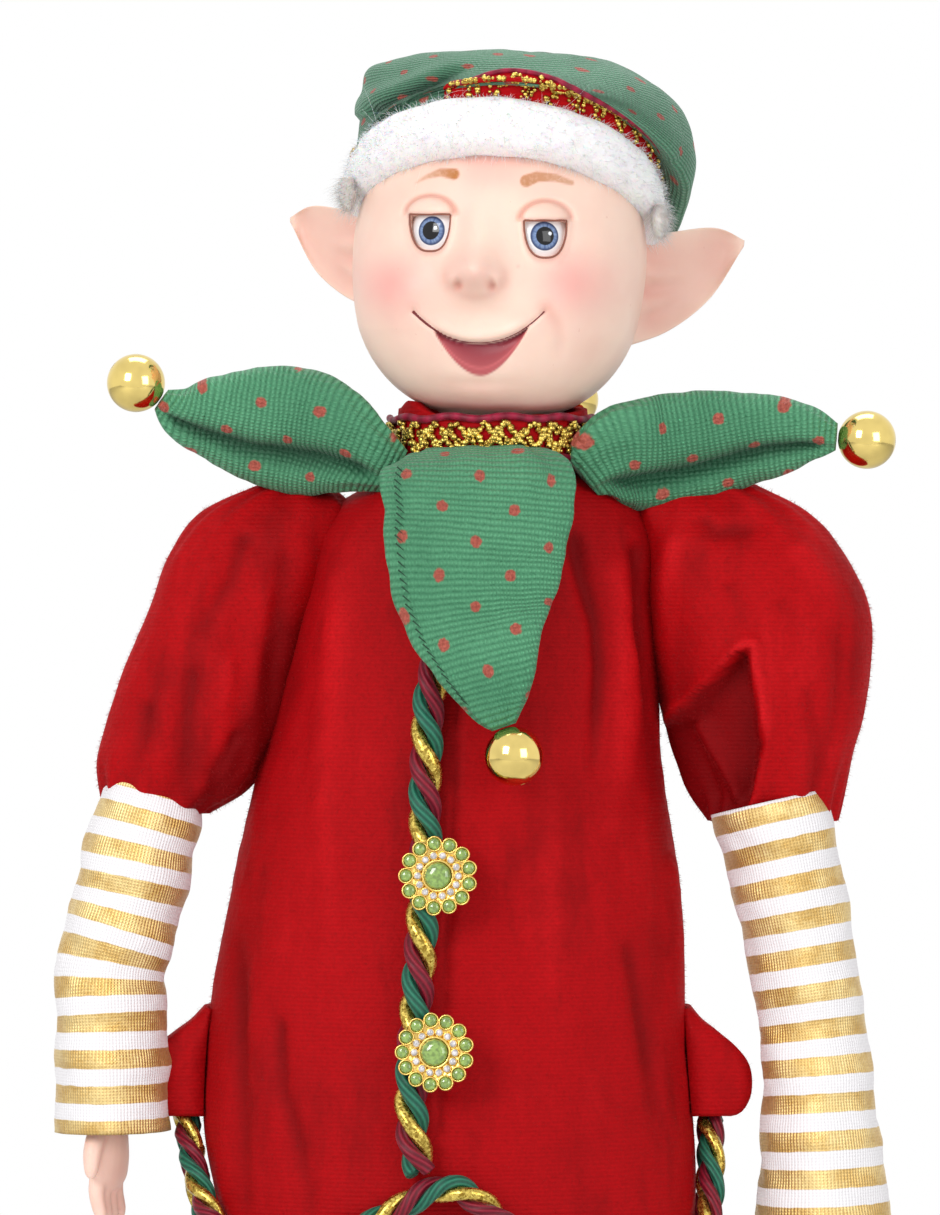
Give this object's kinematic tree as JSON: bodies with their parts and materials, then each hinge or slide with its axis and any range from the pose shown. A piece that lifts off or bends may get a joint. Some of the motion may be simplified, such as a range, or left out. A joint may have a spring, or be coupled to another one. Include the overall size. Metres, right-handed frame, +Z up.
{
  "type": "elf figurine",
  "caption": "Standing cloth elf with a moulded pointed-ear head, stocking cap, petal collar with gold beads, velvet tunic and striped sleeves.",
  "frame": {"origin": "on the floor under the middle of the figure, between the two soles", "axes": "+Z up along the figure, -Y the way the face and toes point, +X the figure's left"},
  "size_m": [0.2206, 0.1216, 0.6],
  "materials": {
    "skin": "satin moulded skin with painted blush",
    "eye": "glossy",
    "green_cloth": "woven with metallic thread",
    "red_velvet": "velvet pile",
    "gold_trim": "metallic gold yarn",
    "white_fur": "long fluffy pile",
    "gold_bead": "mirror-bright gold plating",
    "striped_cloth": "knit with white and metallic gold stripes",
    "burgundy_cord": "satin yarn",
    "green_cord": "satin yarn",
    "button_metal": "bright gold plating",
    "gem_green": "faceted and clear",
    "plain_cloth": "plain cotton",
    "wire": "bare soft wire",
    "sole": "matt"
  },
  "bodies": {
    "root": {"head": "skin", "eye_right": "eye", "eye_left": "eye", "hair_tuft_right": "white_fur", "hair_tuft_left": "white_fur", "hat_crown": "green_cloth", "hat_band": "red_velvet", "fur_brim": "white_fur", "hat_ball": "gold_bead", "neck_collar": "red_velvet", "neck_trim": "gold_trim", "petal_front": "green_cloth", "petal_back": "green_cloth", "petal_right": "green_cloth", "petal_left": "green_cloth", "ball_front": "gold_bead", "ball_back": "gold_bead", "ball_right": "gold_bead", "ball_left": "gold_bead", "tunic": "red_velvet", "peplum": "red_velvet", "puff_sleeve_right": "red_velvet", "puff_sleeve_left": "red_velvet", "striped_sleeve_right": "striped_cloth", "striped_sleeve_left": "striped_cloth", "arm_right": "plain_cloth", "arm_left": "plain_cloth", "hand_right": "skin", "hand_left": "skin", "torso": "plain_cloth", "spine_wire": "wire", "arm_wire": "wire", "leg_wire_right": "wire", "leg_wire_left": "wire", "braid_gold": "gold_trim", "braid_burgundy": "burgundy_cord", "braid_green": "green_cord", "hem_cord": "gold_trim", "button_upper": "button_metal", "button_lower": "button_metal", "gem_upper": "gem_green", "gem_lower": "gem_green", "breeches": "red_velvet", "stocking_right": "striped_cloth", "stocking_left": "striped_cloth", "boot_right": "green_cloth", "boot_left": "green_cloth", "boot_sole_right": "sole", "boot_sole_left": "sole"}
  },
  "joints": []
}
